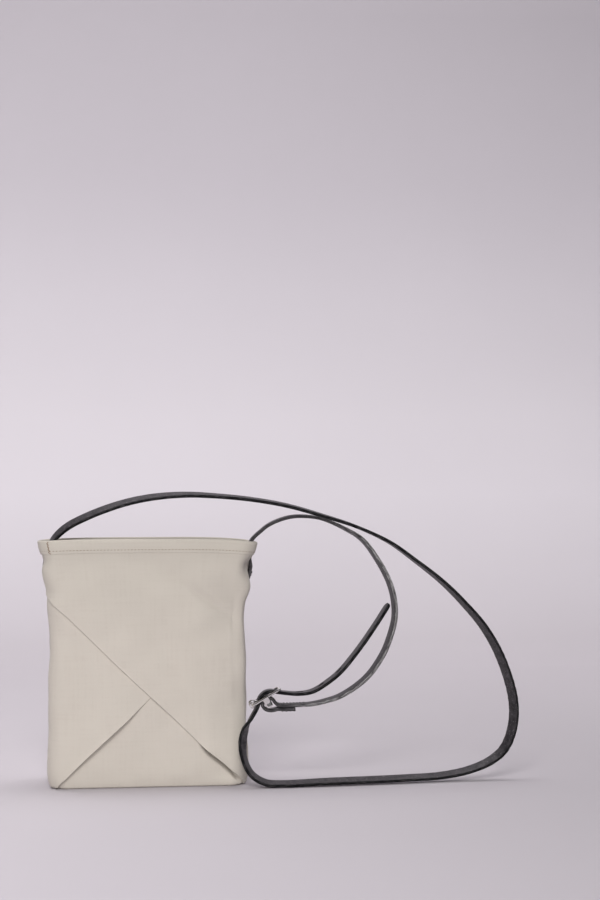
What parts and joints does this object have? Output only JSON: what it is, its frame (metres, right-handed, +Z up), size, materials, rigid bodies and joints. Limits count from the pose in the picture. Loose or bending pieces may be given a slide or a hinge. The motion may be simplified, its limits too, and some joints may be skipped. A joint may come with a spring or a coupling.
{
  "type": "canvas crossbody bag",
  "caption": "Standing open-topped canvas bag with diagonally folded front panels and a two-part leather strap that closes with a roller buckle.",
  "frame": {"origin": "middle of the base, on the surface that the bag stands on", "axes": "+Z up, the folded front faces -Y, +X to the right as seen from the front"},
  "size_m": [0.492, 0.092, 0.2951],
  "materials": {
    "canvas": "matt woven",
    "hem_canvas": "matt woven",
    "strap_leather": "matt with raw edges",
    "nickel": "polished nickel"
  },
  "bodies": {
    "bag": {"canvas_body": "canvas", "front_wrap_panel": "canvas", "left_fold_panel": "canvas", "base_fold_panel": "canvas", "rim_hem": "hem_canvas", "left_strap_end": "strap_leather", "right_strap_end": "strap_leather", "left_rivet": "nickel", "left_rivet_cap": "nickel", "right_rivet": "nickel", "right_rivet_cap": "nickel"},
    "strap": {"strap_long": "strap_leather", "strap_short": "strap_leather"},
    "frame": {"buckle_frame": "nickel"},
    "roller": {"buckle_roller": "nickel"},
    "prong": {"buckle_prong": "nickel"}
  },
  "joints": [
    {"name": "strap_swing", "type": "hinge", "parent": "bag", "child": "strap", "pos_m": [0, 0, 0.254], "axis": [-1, 0, 0], "range_deg": [0, 60]},
    {"name": "buckle_tilt", "type": "hinge", "parent": "strap", "child": "frame", "pos_m": [0.12, -0.033, 0.0818], "axis": [0, 1, 0], "range_deg": [-2, 4]},
    {"name": "roller_spin", "type": "hinge", "parent": "frame", "child": "roller", "pos_m": [0.10379, -0.033, 0.08095], "axis": [0, 1, 0], "continuous": true},
    {"name": "prong_lift", "type": "hinge", "parent": "frame", "child": "prong", "pos_m": [0.12, -0.033, 0.0818], "axis": [0, 1, 0], "range_deg": [0, 9]}
  ]
}
